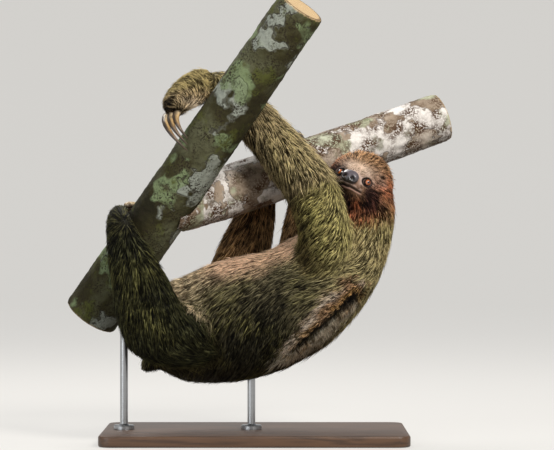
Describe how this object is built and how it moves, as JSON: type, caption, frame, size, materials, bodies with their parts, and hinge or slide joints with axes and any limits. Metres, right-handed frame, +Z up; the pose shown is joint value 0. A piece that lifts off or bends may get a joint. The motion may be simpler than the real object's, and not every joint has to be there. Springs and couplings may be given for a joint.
{
  "type": "three-toed sloth model",
  "caption": "Life-size still model of a brown-throated three-toed sloth hanging belly up in the fork of cut branch lengths, on a flat display base with upright rods.",
  "frame": {"origin": "middle of the display base's underside", "axes": "+Z up, +X towards the sloth's head, -Y towards its left side"},
  "size_m": [0.645, 0.3674, 0.7264],
  "materials": {
    "coat_head": "matt fur, rufous brown",
    "coat_trunk": "matt fur, grey brown",
    "coat_limbs": "matt fur, brown with an olive tint",
    "nose_skin": "moist dark skin",
    "eye": "polished",
    "claw_horn": "smooth horn",
    "bark": "rough pale bark",
    "base_wood": "satin stained wood",
    "rod_steel": "brushed"
  },
  "bodies": {
    "root": {"head": "coat_head", "neck": "coat_head", "rump": "coat_trunk", "belly": "coat_trunk", "chest": "coat_trunk", "tail": "coat_trunk", "upper_arm_left": "coat_limbs", "upper_arm_right": "coat_limbs", "forearm_left": "coat_limbs", "forearm_right": "coat_limbs", "hand_left": "coat_limbs", "hand_right": "coat_limbs", "thigh_left": "coat_limbs", "thigh_right": "coat_limbs", "shin_left": "coat_limbs", "shin_right": "coat_limbs", "foot_left": "coat_limbs", "foot_right": "coat_limbs", "nose": "nose_skin", "eye_left": "eye", "eye_right": "eye", "claw_hand_left_1": "claw_horn", "claw_hand_left_2": "claw_horn", "claw_hand_left_3": "claw_horn", "claw_hand_right_1": "claw_horn", "claw_hand_right_2": "claw_horn", "claw_hand_right_3": "claw_horn", "claw_foot_left_1": "claw_horn", "claw_foot_left_2": "claw_horn", "claw_foot_left_3": "claw_horn", "claw_foot_right_1": "claw_horn", "claw_foot_right_2": "claw_horn", "claw_foot_right_3": "claw_horn", "perch_front": "bark", "perch_back": "bark", "stand_base": "base_wood", "stand_rod_perch": "rod_steel", "stand_rod_back": "rod_steel"}
  },
  "joints": []
}
